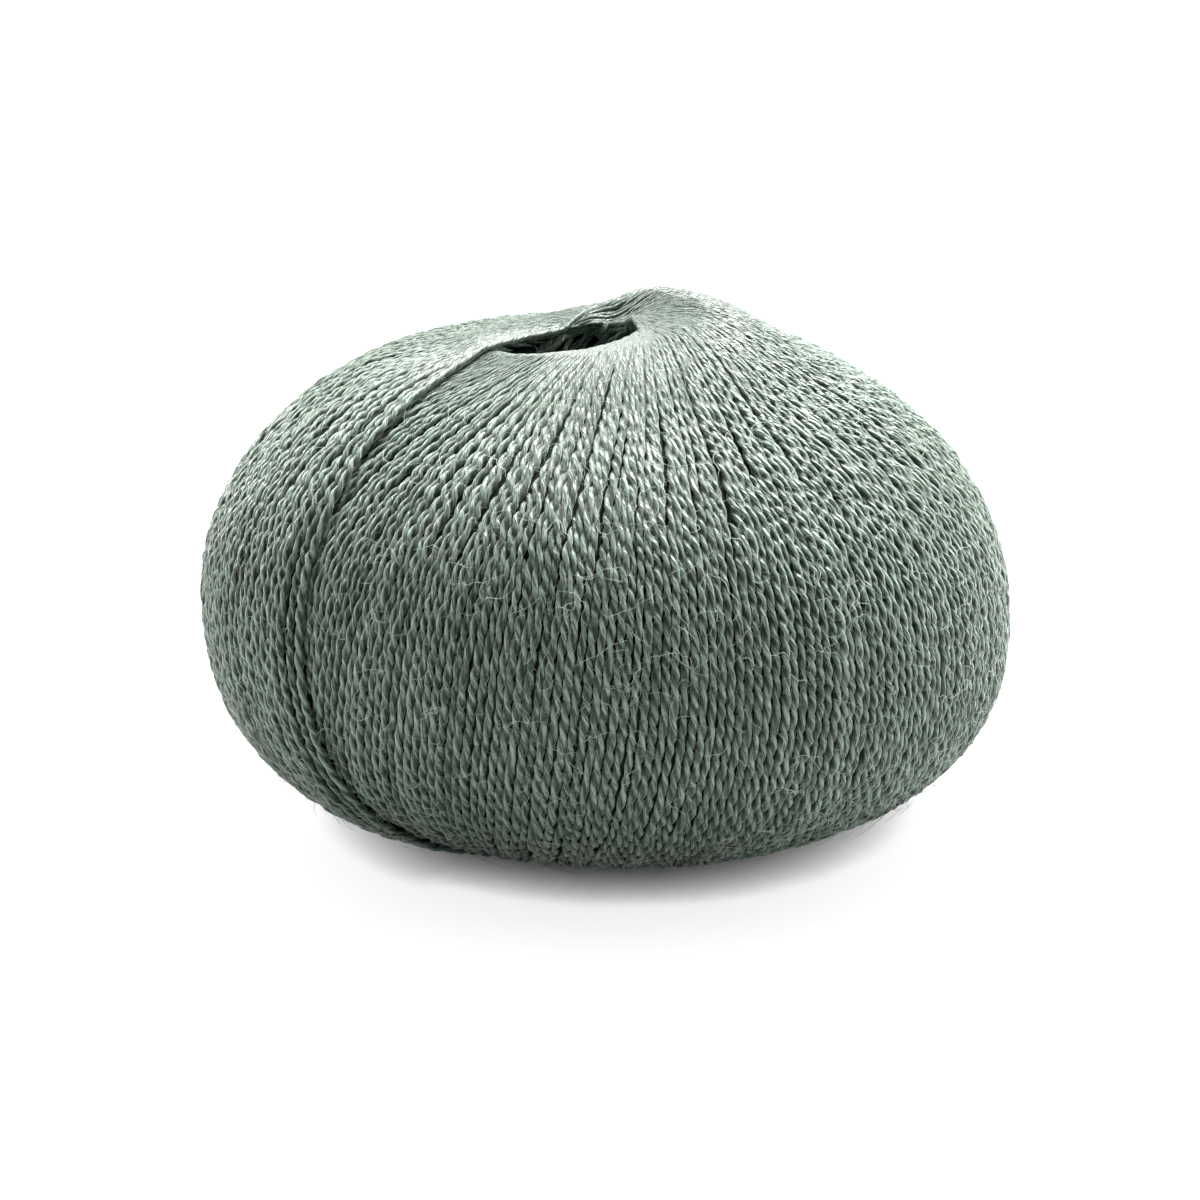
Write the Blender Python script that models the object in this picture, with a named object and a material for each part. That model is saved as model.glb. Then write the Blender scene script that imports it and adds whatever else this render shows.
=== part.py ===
"""A squat, centre-pull ball of two-ply yarn, wound by machine on a mandrel.

Every turn climbs one side of the ball, passes the hole at the top on its left, comes down the far side
and passes the hole underneath. The turns creep round the hole as they are laid, so the girth is
covered half by climbing turns and half by falling ones. Each newest turn stands a step above the
oldest that it creeps towards, which is the curved ridge on the ball's left.

Metres, +Z up, origin on the floor under the middle of the ball. The front of the ball faces -Y.
Azimuths are measured from the front, counterclockwise seen from above, so +X is at 90 degrees.
"""

import math

import bmesh
import bpy

# Wound form: two halves of a superellipse that meet at the girth
GIRTH_RADIUS = 0.0446
GIRTH_HEIGHT = 0.02465
CROWN_RISE = 0.0320
CROWN_POWER = 1.91
BASE_DROP = 0.0255
BASE_POWER = 2.55
AXIS_LEAN = 0.064  # sideways shift of the hole for each metre of height, towards -X

# Hole left by the mandrel, closed up at mid-height
HOLE_RADIUS = 0.0080
LIP_RADIUS = 0.0045
CROWN_HOLE_DEPTH = 0.0250
BASE_HOLE_DEPTH = 0.0095
THROAT_SHARE = 0.72  # the hole's radius where it closes, as a share of its mouth's
FLOOR_SHARE = 0.35  # how far up the wall the rounded floor of the hole reaches
WALL_POWER = 1.4  # packs the wall's sections towards the floor

# Last layer of turns
EDGE_AZIMUTH = math.radians(-47.5)  # where the newest falling turn crosses the girth
STEP_AT_GIRTH = 0.0020
STEP_AT_HOLE = 0.0032
STEP_WIDTH = 0.0055
LEAST_REACH = 0.0100  # stops the step growing steeper where the turns pass the hole
SETTLED_HEIGHT = 0.0080  # under this the layer is pressed level by the ball's own weight

# Bundles of turns that show as shallow ridges
RIDGES = 32
RIDGE_HEIGHT = 0.00035
RIDGES_FADE_OVER = 0.0100  # outwards from the lip, where the turns are pressed into each other
COLUMNS_PER_RIDGE = 3
COLUMN_TWIST = math.radians(30.0)  # the columns follow the climbing turns as far as this

# Rows of the surface, from one hole to the other
CROWN_ROWS = 20
BASE_ROWS = 14
ROW_POWER = 1.35  # packs the rows towards the lips, where the steps run round the hole
LIP_ROWS = 5
WALL_ROWS = 5

YARN_COLOUR = (0.155, 0.215, 0.180, 1.0)
YARN_ROUGHNESS = 0.75

FULL_TURN = 2.0 * math.pi
QUARTER_TURN = 0.5 * math.pi


class Section:
    """A ring of the ball: its radius and height, which way its surface faces, and the turns' lay there."""

    def __init__(self, radius, height, lip_share=1.0, out=(1.0, 0.0)):
        self.radius = radius
        self.height = height
        self.lip_share = lip_share  # 0 down in a hole, 1 on the outside
        self.out = out  # the way that layers build up, as (radial, upward)
        self.lay = 0.0  # azimuth that a climbing turn gains between the girth and here


def clear_scene():
    """Removes whatever the scene holds."""
    for old in list(bpy.data.objects):
        bpy.data.objects.remove(old, do_unlink=True)


def smooth(value):
    """Eases a value from 0 to 1."""
    value = min(max(value, 0.0), 1.0)
    return value * value * (3.0 - 2.0 * value)


def outside_half(rise, power, rows, upward):
    """The sections from a lip's crest out to the girth, which is left out."""
    crest = HOLE_RADIUS + LIP_RADIUS
    start = math.asin((crest / GIRTH_RADIUS) ** (power / 2.0))
    half = []
    for row in range(rows):
        angle = start + (QUARTER_TURN - start) * (row / rows) ** ROW_POWER
        radius = GIRTH_RADIUS * math.sin(angle) ** (2.0 / power)
        height = GIRTH_HEIGHT + upward * rise * math.cos(angle) ** (2.0 / power)
        half.append(Section(radius, height))
    return half


def hole(crest_height, depth, upward):
    """The sections from the middle of a hole's floor up its wall and round its lip, short of the crest."""
    lip_height = crest_height - upward * LIP_RADIUS
    floor_height = crest_height - upward * depth
    throat = HOLE_RADIUS * THROAT_SHARE
    out = (0.0, upward)
    sections = [Section(0.0, floor_height, 0.0, out)]
    for row in range(1, WALL_ROWS + 1):
        share = row / (WALL_ROWS + 1)
        radius = throat * smooth(share / FLOOR_SHARE) + (HOLE_RADIUS - throat) * smooth(share)
        height = floor_height + (lip_height - floor_height) * share**WALL_POWER
        sections.append(Section(radius, height, 0.0, out))
    for row in range(LIP_ROWS):
        angle = QUARTER_TURN * row / LIP_ROWS
        radius = HOLE_RADIUS + LIP_RADIUS * (1.0 - math.cos(angle))
        height = lip_height + upward * LIP_RADIUS * math.sin(angle)
        sections.append(Section(radius, height, math.sin(angle), out))
    return sections


def set_normals(sections):
    """Gives each section of the outside its normal, square to the line through its neighbours."""
    for before, section, after in zip(sections, sections[1:], sections[2:]):
        if section.lip_share == 1.0:
            along = after.radius - before.radius
            rise = after.height - before.height
            length = math.hypot(along, rise)
            section.out = (-rise / length, along / length)


def set_lay(sections, girth_place):
    """Gives each section the azimuth that a taut turn gains on its way there from the girth.

    A taut turn gains azimuth faster the nearer it is to the hole, and has gained a quarter turn
    where it passes the hole.
    """
    for step, end in ((-1, 0), (1, len(sections) - 1)):
        gained = 0.0
        place = girth_place
        while place != end:
            here, there = sections[place], sections[place + step]
            radius = 0.5 * (here.radius + there.radius)
            if there.lip_share > 0.0 and radius > HOLE_RADIUS:
                length = math.hypot(there.radius - here.radius, there.height - here.height)
                gained += HOLE_RADIUS * length / (radius * math.sqrt(radius**2 - HOLE_RADIUS**2))
            there.lay = -step * gained
            place += step
        for section in sections[end:girth_place] if step < 0 else sections[girth_place + 1 :]:
            section.lay *= QUARTER_TURN / gained


def meridian():
    """All sections, from the floor of the top hole over the girth to the floor of the bottom one."""
    crown = outside_half(CROWN_RISE, CROWN_POWER, CROWN_ROWS, 1.0)
    base = outside_half(BASE_DROP, BASE_POWER, BASE_ROWS, -1.0)
    top_hole = hole(crown[0].height, CROWN_HOLE_DEPTH, 1.0)
    base_hole = hole(base[0].height, BASE_HOLE_DEPTH, -1.0)
    girth = Section(GIRTH_RADIUS, GIRTH_HEIGHT)
    sections = top_hole + crown + [girth] + base[::-1] + base_hole[::-1]
    set_normals(sections)
    set_lay(sections, len(top_hole) + len(crown))
    return sections


def age(edge, azimuth):
    """How far behind a layer's newest turn a place is, from 0 at the edge to a full turn."""
    return (edge - azimuth) % FULL_TURN


def layer_height(section, climbing, falling):
    """Height of the last layer over the mean surface, from the two families' azimuths at the girth."""
    climb_age = age(EDGE_AZIMUTH + math.pi, climbing)
    fall_age = age(EDGE_AZIMUTH, falling)
    reach = math.sqrt(max(section.radius**2 - HOLE_RADIUS**2, LEAST_REACH**2))
    ramp = STEP_WIDTH / reach
    share = -1.0
    spread = smooth((section.radius - HOLE_RADIUS - LIP_RADIUS) / RIDGES_FADE_OVER)
    for turn_age in (climb_age, fall_age):
        share += smooth(turn_age / ramp) * (1.0 - turn_age / FULL_TURN)
        spread *= smooth(turn_age / ramp) * smooth((FULL_TURN - turn_age) / ramp)
    near_hole = (GIRTH_RADIUS - section.radius) / (GIRTH_RADIUS - HOLE_RADIUS - LIP_RADIUS)
    step = STEP_AT_GIRTH + (STEP_AT_HOLE - STEP_AT_GIRTH) * min(max(near_hole, 0.0), 1.0)
    settled = smooth((section.height - GIRTH_HEIGHT + BASE_DROP) / SETTLED_HEIGHT)
    newest = climbing if climb_age < fall_age else falling
    bundle = RIDGE_HEIGHT * spread * math.cos(RIDGES * newest)
    return (step * settled * share + bundle) * section.lip_share


def wound_mesh():
    """Spins the meridian into a closed body, then lays the turns' twist and steps into it."""
    sections = meridian()
    shape = bmesh.new()
    place_of = shape.verts.layers.int.new("section")
    previous = None
    for place, section in enumerate(sections):
        vert = shape.verts.new((0.0, -section.radius, section.height))
        vert[place_of] = place
        if previous:
            shape.edges.new((previous, vert))
        previous = vert
    bmesh.ops.spin(
        shape,
        geom=shape.verts[:] + shape.edges[:],
        cent=(0.0, 0.0, 0.0),
        axis=(0.0, 0.0, 1.0),
        angle=FULL_TURN,
        steps=RIDGES * COLUMNS_PER_RIDGE,
        use_merge=True,
    )
    bmesh.ops.remove_doubles(shape, verts=shape.verts[:], dist=1e-6)
    for vert in shape.verts:
        section = sections[vert[place_of]]
        column = math.atan2(vert.co.x, -vert.co.y)
        azimuth = column + min(max(section.lay, -COLUMN_TWIST), COLUMN_TWIST)
        lift = layer_height(section, azimuth - section.lay, azimuth + section.lay)
        radius = section.radius + section.out[0] * lift
        height = max(section.height + section.out[1] * lift, 0.0)
        lean = -AXIS_LEAN * (height - GIRTH_HEIGHT)
        vert.co = (radius * math.sin(azimuth) + lean, -radius * math.cos(azimuth), height)
    bmesh.ops.triangulate(shape, faces=shape.faces[:], quad_method="BEAUTY", ngon_method="BEAUTY")
    bmesh.ops.recalc_face_normals(shape, faces=shape.faces[:])
    centre_over_origin(shape)
    mesh = bpy.data.meshes.new("yarn_ball")
    shape.to_mesh(mesh)
    shape.free()
    return mesh


def centre_over_origin(shape):
    """Moves the body so that the middle of its outline seen from above is over the origin."""
    for axis in (0, 1):
        places = [vert.co[axis] for vert in shape.verts]
        middle = 0.5 * (min(places) + max(places))
        for vert in shape.verts:
            vert.co[axis] -= middle


def yarn_material():
    """Soft grey-green wool with a dull sheen."""
    material = bpy.data.materials.new("sage_yarn")
    material.use_nodes = True
    surface = material.node_tree.nodes["Principled BSDF"]
    surface.inputs["Base Color"].default_value = YARN_COLOUR
    surface.inputs["Roughness"].default_value = YARN_ROUGHNESS
    surface.inputs["Metallic"].default_value = 0.0
    return material


def build_ball():
    """Makes the wound ball in its own collection."""
    collection = bpy.data.collections.new("ball_of_yarn")
    bpy.context.scene.collection.children.link(collection)
    ball = bpy.data.objects.new("wound_ball", wound_mesh())
    ball.data.materials.append(yarn_material())
    ball.data.shade_smooth()
    collection.objects.link(ball)


clear_scene()
build_ball()
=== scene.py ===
"""Dresses a squat, centre-pull ball of two-ply yarn, strand by strand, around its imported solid.

Every turn climbs one side of the ball, passes the hole at the top, comes down the far side and passes
the hole underneath. The last revolution of turns is laid as real strands, each one a pair of plies
twisted together along the path that a taut turn takes over the wound form. Older turns show only where
newer ones leave them bare. Under them lies the body of the earlier turns.

Metres, +Z up. The front of the ball faces -Y. Azimuths are measured from the front, counterclockwise
seen from above, so +X is at a quarter turn. A turn's age is its angle behind the newest turn, and its
reach is how far it moves sideways for each radian that it shifts round the axis.
"""

import logging
import math
from dataclasses import dataclass
from enum import Enum
from typing import Self

import bmesh
import bpy
import numpy as np
from mathutils import Matrix, Vector


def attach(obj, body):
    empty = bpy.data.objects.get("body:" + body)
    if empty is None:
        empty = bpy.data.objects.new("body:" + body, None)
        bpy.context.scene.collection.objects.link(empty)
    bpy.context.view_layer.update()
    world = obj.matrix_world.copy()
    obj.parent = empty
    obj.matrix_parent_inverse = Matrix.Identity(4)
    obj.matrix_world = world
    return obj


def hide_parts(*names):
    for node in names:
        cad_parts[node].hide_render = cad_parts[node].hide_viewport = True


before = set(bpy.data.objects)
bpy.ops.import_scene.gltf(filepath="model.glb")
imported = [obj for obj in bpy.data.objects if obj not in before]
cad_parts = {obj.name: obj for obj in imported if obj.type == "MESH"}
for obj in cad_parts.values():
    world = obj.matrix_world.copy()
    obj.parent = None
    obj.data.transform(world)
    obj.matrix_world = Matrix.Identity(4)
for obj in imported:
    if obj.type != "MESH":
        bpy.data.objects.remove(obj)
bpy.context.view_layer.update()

LOG = logging.getLogger("ball_of_yarn")
BALL_NODE = "wound_ball"
BODY = "root"

MM = 0.001
FULL_TURN = 2.0 * math.pi
HALF_TURN = math.pi
QUARTER_TURN = 0.5 * math.pi
GOLDEN_SHARE = 0.5 * (math.sqrt(5.0) - 1.0)

Array = np.ndarray
Chance = np.random.Generator
Socket = bpy.types.NodeSocket
Colour = tuple[float, float, float, float]
Value = Socket | float | Colour | Vector
BLACK: Colour = (0.0, 0.0, 0.0, 1.0)
WHITE: Colour = (1.0, 1.0, 1.0, 1.0)

DRIFT_WAVES = (1.0, 0.6, 0.35)  # the shares of its reach and of its height that a drift's waves have
DRIFT_SPREAD = (0.8, 1.25)  # by which those waves are shorter or longer
DRIFT_PEAK = 1.6
NOISE_RANGE = (0.3, 0.7)  # between which nearly all values of a noise lie
NOISE_MIDDLE = (0.35, 0.65)  # between which most of them lie
NODE_COLUMNS = 8
NODE_SPACING = (220.0, -260.0)


def ease(value: Array) -> Array:
    """Eases values from 0 to 1, and clamps those outside."""
    clamped = np.clip(value, 0.0, 1.0)
    return clamped * clamped * (3.0 - 2.0 * clamped)


def unit(vectors: Array) -> Array:
    """Scales rows of vectors to length 1."""
    return vectors / np.maximum(np.linalg.norm(vectors, axis=-1, keepdims=True), 1e-12)


def spokes(azimuth: Array, radial: Array | float, up: Array | float) -> Array:
    """Rows of vectors, from their azimuths and their radial and upward parts."""
    return np.stack((radial * np.sin(azimuth), -radial * np.cos(azimuth), up + 0.0 * azimuth), axis=-1)


def drift(rng: Chance, along: Array, reach: float) -> Array:
    """A slow random wander, mostly within -1 to 1.

    Args:
        rng: The source of chance.
        along: Places along a length.
        reach: The usual distance between two turning points.

    Returns:
        The wander at each place.
    """
    total = np.zeros_like(along)
    for harmonic in DRIFT_WAVES:
        phase = rng.uniform(0.0, FULL_TURN)
        stretch = rng.uniform(*DRIFT_SPREAD)
        total += harmonic * np.sin(along * HALF_TURN / (reach * harmonic * stretch) + phase)
    return total / DRIFT_PEAK


class Half(Enum):
    """The two halves of a turn, with the way that each one's azimuth follows its lay."""

    CLIMBING = 1.0
    FALLING = -1.0


@dataclass(frozen=True)
class Yarn:
    """The yarn itself: two soft plies twisted to the left."""

    width: float = 1.04 * MM
    thinnest: float = 0.74  # share of its width that is left where turns are pressed together at a hole
    crowded_reach: float = 8.0 * MM
    free_reach: float = 30.0 * MM
    ply_radius: float = 0.325 * MM
    ply_offset: float = 0.185 * MM  # from the strand's middle to the middle of each ply
    waist: float = 0.215 * MM  # half the strand's thickness in the groove between the plies
    lobe_angle: float = math.radians(64.0)  # of a lobe's outer corners, about the middle of its ply
    pressed_radius: float = 0.40 * MM  # of the rounder strand that crowding makes
    roundest: float = 0.70
    twist_length: float = 4.6 * MM
    ring_spacing: float = 0.56 * MM

    def press(self, reach: Array) -> Array:
        """How hard turns are pressed together: 0 where they lie loose, 1 at a hole."""
        return 1.0 - ease((reach - self.crowded_reach) / (self.free_reach - self.crowded_reach))

    def slimness(self, press: Array) -> Array:
        """The share of its width that a strand keeps under a pressure."""
        return 1.0 - (1.0 - self.thinnest) * press

    def corners(self) -> tuple[Array, Array]:
        """The strand's cross-section as eight corners.

        Returns:
            Their angles about the strand's middle, and their distances from it.
        """
        across = self.ply_offset + self.ply_radius * math.cos(self.lobe_angle)
        up = self.ply_radius * math.sin(self.lobe_angle)
        side = math.atan2(up, across)
        shoulder = math.hypot(across, up)
        turns = (0.0, side, QUARTER_TURN, HALF_TURN - side)
        angles = [lobe + turn for lobe in (0.0, HALF_TURN) for turn in turns]
        reaches = [self.ply_offset + self.ply_radius, shoulder, self.waist, shoulder]
        return np.array(angles), np.array(2 * reaches)


class Columns:
    """Columns of numbers, with a row for each place."""

    def cut(self, rows: slice | Array) -> Self:
        """The same columns with only some of the rows."""
        return type(self)(*(column[rows] for column in vars(self).values()))

    @classmethod
    def joined(cls, parts: list[Self]) -> Self:
        """The rows of several parts, one part after the other."""
        return cls(*(np.concatenate(column) for column in zip(*(vars(part).values() for part in parts))))


@dataclass
class Track(Columns):
    """Places along half a turn, from where it passes the bottom hole up to where it passes the top one."""

    radius: Array
    height: Array
    out_radial: Array  # the way that layers build up
    out_up: Array
    lip_share: Array  # 1 on the outside, fading round a hole's lip
    lay: Array  # azimuth gained since the girth
    length: Array  # along the strand

    def spaced(self, spacing: float, coarse_below: float = 0.0, coarse: float = 1.0) -> "Track":
        """The same half turn, with its places evenly apart along the strand.

        Args:
            spacing: The distance that is wanted between places.
            coarse_below: The height under which the places may be further apart.
            coarse: How many times further apart they are there.

        Returns:
            The new track.
        """
        share = np.where(self.height[1:] < coarse_below, 1.0 / coarse, 1.0)
        effort = np.concatenate(([0.0], np.cumsum(np.diff(self.length) * share)))
        even = np.linspace(0.0, effort[-1], int(round(effort[-1] / spacing)) + 1)
        return Track(*(np.interp(even, effort, column) for column in vars(self).values()))


@dataclass
class WoundForm:
    """The wound surface: two superellipse halves, a hole at each end and a step at each newest turn."""

    girth_radius: float = 44.6 * MM
    girth_height: float = 24.65 * MM
    crown_rise: float = 31.5 * MM
    crown_power: float = 2.05
    base_drop: float = 25.5 * MM
    base_power: float = 2.55
    pile_height: float = 0.9 * MM  # by which the crowding turns raise the rim of the top hole
    pile_radius: float = 26.0 * MM
    pile_power: float = 1.8
    rim_tilt: float = 0.14  # rise of the top hole's rim
    tilt_azimuth: float = math.radians(55.0)  # towards which it rises
    hump_height: float = 1.6 * MM  # of the rim's highest part
    hump_azimuth: float = math.radians(138.0)
    hump_width: float = math.radians(42.0)
    funnel_depth: float = 2.3 * MM  # of the dip in which older turns pass behind the hole, under the newest
    funnel_slope: float = 2.8 * MM  # from the newest turn's line to where the dip has its full depth
    funnel_reach: float = 11.0 * MM  # from the axis
    funnel_spread: float = math.radians(132.0)
    funnel_fade: float = 0.35  # share of that spread over which it fades
    axis_lean: float = 0.056
    hole_radius: float = 8.0 * MM
    lip_radius: float = 4.5 * MM
    pass_lip_share: float = 0.6  # how much of the lip's steepness is left where turns pass the hole
    near_lip_share: float = 0.96  # the same for the newest turns, which are stretched straight over it
    near_pass: float = 4.7 * MM  # how near the newest turns come to the axis, over the top hole
    far_pass: float = 8.9 * MM  # how near older ones come
    pass_start: float = math.radians(85.0)  # the age from which turns pass further out
    pass_span: float = math.radians(180.0)
    pass_return: float = math.radians(45.0)  # over which the oldest turns come as near again
    widest_chord: float = math.radians(80.0)
    edge_azimuth: float = math.radians(-47.5)  # at which the newest turn comes down through the girth
    step_at_girth: float = 2.0 * MM
    step_at_hole: float = 1.0 * MM
    step_width: float = 2.6 * MM
    rim_spread: float = math.radians(55.0)  # by which the step is drawn out at a hole's rim
    spread_radius: float = 18.0 * MM
    least_reach: float = 7.0 * MM
    settled_height: float = 8.0 * MM  # under which the turns are pressed level
    centre: tuple[float, float, float] = (-0.2 * MM, 0.0, 0.0)
    quarter_places: int = 140
    lip_places: int = 40

    @property
    def crest_radius(self) -> float:
        """The radius at which a lip is highest."""
        return self.hole_radius + self.lip_radius

    def _quarter(self, upward: float, count: int) -> tuple[Array, Array]:
        """The outline from a lip's crest out to the girth.

        Args:
            upward: 1 for the crown, -1 for the base.
            count: How many places.

        Returns:
            Their radii and heights.
        """
        on_top = upward > 0.0
        rise, power = (self.crown_rise, self.crown_power) if on_top else (self.base_drop, self.base_power)
        start = math.asin((self.crest_radius / self.girth_radius) ** (power / 2.0))
        angle = np.linspace(start, QUARTER_TURN, count)
        radius = self.girth_radius * np.sin(angle) ** (2.0 / power)
        height = self.girth_height + upward * rise * np.maximum(np.cos(angle), 0.0) ** (2.0 / power)
        if on_top:
            inward = (self.pile_radius - radius) / (self.pile_radius - self.crest_radius)
            height = height + self.pile_height * np.clip(inward, 0.0, 1.0) ** self.pile_power
        return radius, height

    def crest_height(self, upward: float) -> float:
        """The mean height of the top hole's crest, for 1, or of the bottom one's, for -1."""
        return float(self._quarter(upward, 2)[1][0])

    def pass_age(self, azimuth: Array) -> Array:
        """The age of the turn that passes the top hole at an azimuth."""
        return (self.edge_azimuth - QUARTER_TURN - azimuth) % FULL_TURN

    def pass_radius(self, age: Array) -> Array:
        """How near a turn of an age comes to the axis where it passes the top hole."""
        share = ease((age - self.pass_start) / self.pass_span) * ease((FULL_TURN - age) / self.pass_return)
        return self.near_pass + (self.far_pass - self.near_pass) * share

    def lip_share(self, pass_radius: Array) -> Array:
        """How much of the lip's steepness is left where a turn passes a hole, 1 being that of its crest."""
        near = np.clip((self.far_pass - pass_radius) / (self.far_pass - self.near_pass), 0.0, 1.0)
        return self.pass_lip_share + (self.near_lip_share - self.pass_lip_share) * near

    def rim_drop(self, azimuth: Array) -> Array:
        """How far the edge of the top hole lies under its crest."""
        return self.lip_radius * (1.0 - self.lip_share(self.pass_radius(self.pass_age(azimuth))))

    def hole_edge(self, azimuth: Array) -> Array:
        """The top hole's outline: the circle of the older turns, cut off by the newest one."""
        beyond = np.minimum(FULL_TURN - self.pass_age(azimuth), self.widest_chord)
        return np.minimum(self.pass_radius(self.pass_age(azimuth)), self.near_pass / np.cos(beyond))

    def _lip(self, pass_radius: float, crest_height: float, upward: float) -> tuple[Array, Array, Array]:
        """The outline round a lip, from the radius at which a turn passes the hole to the crest.

        Args:
            pass_radius: Where the outline starts.
            crest_height: The height of the lip's crest.
            upward: 1 for the crown, -1 for the base.

        Returns:
            Radii, heights and lip shares, without the crest itself.
        """
        curled = (1.0 - np.linspace(0.0, 1.0, self.lip_places) ** 2)[:-1]
        share = np.sqrt(1.0 - (1.0 - float(self.lip_share(pass_radius)) ** 2) * curled**2)
        height = crest_height - upward * self.lip_radius * (1.0 - share)
        return self.crest_radius - (self.crest_radius - pass_radius) * curled, height, share

    def track(self, pass_radius: float) -> Track:
        """The half turn that passes the top hole at a given radius.

        Args:
            pass_radius: How near the turn comes to the ball's axis there.

        Returns:
            The track, finely divided.
        """
        crown_r, crown_z = self._quarter(1.0, self.quarter_places)
        base_r, base_z = self._quarter(-1.0, self.quarter_places)
        top_r, top_z, top_share = self._lip(pass_radius, crown_z[0], 1.0)
        low_r, low_z, low_share = self._lip(self.far_pass, base_z[0], -1.0)
        radius = np.concatenate((low_r, base_r[:-1], crown_r[::-1], top_r[::-1]))
        height = np.concatenate((low_z, base_z[:-1], crown_z[::-1], top_z[::-1]))
        share = np.concatenate((low_share, np.ones(len(base_r) + len(crown_r) - 1), top_share[::-1]))
        along_r = np.gradient(radius)
        along_z = np.gradient(height)
        steep = np.hypot(along_r, along_z)
        out_radial = np.where(share < 1.0, 0.0, along_z / steep)
        out_up = np.where(share < 1.0, np.sign(height - self.girth_height), -along_r / steep)
        piece = np.hypot(np.diff(radius), np.diff(height))
        middle = 0.5 * (radius[1:] + radius[:-1])
        nearest = np.where(height[1:] > self.girth_height, pass_radius, self.far_pass)
        reach = np.sqrt(middle**2 - nearest**2)
        length = np.concatenate(([0.0], np.cumsum(piece * middle / reach)))
        gained = np.concatenate(([0.0], np.cumsum(nearest * piece / (middle * reach))))
        girth = len(low_r) + len(base_r) - 1
        lay = gained - gained[girth]
        lay[:girth] *= QUARTER_TURN / gained[girth]
        lay[girth:] *= QUARTER_TURN / (gained[-1] - gained[girth])
        return Track(radius, height, out_radial, out_up, share, lay, length)

    def reach(self, track: Track, pass_radius: float) -> Array:
        """The reach, at each place, of a turn that passes the top hole at a radius."""
        nearest = np.where(track.height > self.girth_height, pass_radius, self.far_pass)
        return np.sqrt(np.maximum(track.radius**2 - nearest**2, 0.0))

    def ramp(self, track: Track, reach: Array) -> Array:
        """The angle over which a newest turn's step rises, at places with a given reach."""
        near = ease((self.spread_radius - track.radius) / (self.spread_radius - self.crest_radius))
        return self.step_width / np.maximum(reach, self.least_reach) + self.rim_spread * near

    def rim_lift(self, azimuth: Array) -> Array:
        """How far the rim of a hole stands over its mean height.

        Args:
            azimuth: The places asked about.

        Returns:
            The lift at each place.
        """
        age = self.pass_age(azimuth)
        ramp = self.step_width / self.least_reach + self.rim_spread
        step = self.step_at_hole * self.pass_lip_share
        return step * (2.0 * ease(age / ramp) * (1.0 - age / FULL_TURN) - 1.0)

    def _funnel(self, radius: Array, azimuth: Array) -> Array:
        """How deep the older turns dip behind the top hole, on its side of the newest turn's line.

        Args:
            radius: The places' distances from the axis.
            azimuth: Their azimuths.

        Returns:
            The dip at each place.
        """
        aside = (azimuth - self.edge_azimuth - QUARTER_TURN) % FULL_TURN - HALF_TURN
        inside = ease((self.near_pass - radius * np.cos(aside)) / self.funnel_slope)
        near = ease((self.funnel_reach - radius) / (0.5 * self.funnel_reach))
        window = ease((self.funnel_spread - np.abs(aside)) / (self.funnel_fade * self.funnel_spread))
        return self.funnel_depth * inside * near * window

    def tilt(self, radius: Array, height: Array, azimuth: Array) -> Array:
        """How far the slanting rim of the top hole is raised.

        Args:
            radius: The places' distances from the axis.
            height: Their heights.
            azimuth: Their azimuths.

        Returns:
            The rise at each place.
        """
        near = ease((self.pile_radius - radius) / (self.pile_radius - self.crest_radius))
        aside = (azimuth - self.hump_azimuth + HALF_TURN) % FULL_TURN - HALF_TURN
        hump = self.hump_height * np.exp(-((aside / self.hump_width) ** 2))
        rise = near * (self.rim_tilt * radius * np.cos(azimuth - self.tilt_azimuth) + hump)
        return np.where(height > self.girth_height, rise - self._funnel(radius, azimuth), 0.0)

    def step(self, track: Track) -> Array:
        """How much each family of turns adds to the surface in one revolution.

        Args:
            track: The places asked about.

        Returns:
            The thickness at each place.
        """
        near_hole = (self.girth_radius - track.radius) / (self.girth_radius - self.crest_radius)
        rise = self.step_at_girth + (self.step_at_hole - self.step_at_girth) * np.clip(near_hole, 0.0, 1.0)
        settled = ease((track.height - self.girth_height + self.base_drop) / self.settled_height)
        return rise * settled * track.lip_share

    def points(self, azimuth: Array, radius: Array, height: Array) -> Array:
        """Points round the leaning axis, one in each row."""
        lean = -self.axis_lean * (height - self.girth_height)
        return spokes(azimuth, radius, height) + self.centre + lean[:, None] * np.array((1.0, 0.0, 0.0))

    def place(self, track: Track, azimuth: Array, lift: Array, floor: float) -> Array:
        """Points over the wound surface.

        Args:
            track: Where the points are along their half turn.
            azimuth: Where they are round the axis.
            lift: How far they are outside the mean surface.
            floor: The lowest height that they may have.

        Returns:
            One point in each row.
        """
        tilted = track.height + self.tilt(track.radius, track.height, azimuth)
        height = np.maximum(tilted + track.out_up * lift, floor)
        return self.points(azimuth, track.radius + track.out_radial * lift, height)


@dataclass
class Course(Columns):
    """The way that a strand takes, place by place."""

    middle: Array
    outward: Array
    depth: Array  # strand widths under whatever lies on top
    slim: Array  # share of its width that the strand keeps
    press: Array

    def along(self) -> Array:
        """The distance from the first place to each one."""
        return np.concatenate(([0.0], np.cumsum(np.linalg.norm(np.diff(self.middle, axis=0), axis=1))))


@dataclass
class Stretch:
    """A visible stretch of strand: its course, its twist and its tone."""

    course: Course
    twist: Array
    tone: float
    start: float  # where it starts along its strand

    def forward(self) -> Array:
        """The direction of the strand at each place."""
        return unit(np.gradient(self.course.middle, axis=0))

    def across(self) -> Array:
        """The sideways direction at each place."""
        return unit(np.cross(self.forward(), self.course.outward))


def mesh_of(shape: bmesh.types.BMesh, name: str) -> bpy.types.Mesh:
    """Turns a finished shape into a mesh, and frees the shape.

    Args:
        shape: The shape.
        name: The mesh's name.

    Returns:
        The mesh.
    """
    mesh = bpy.data.meshes.new(name)
    shape.to_mesh(mesh)
    shape.free()
    return mesh


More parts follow.
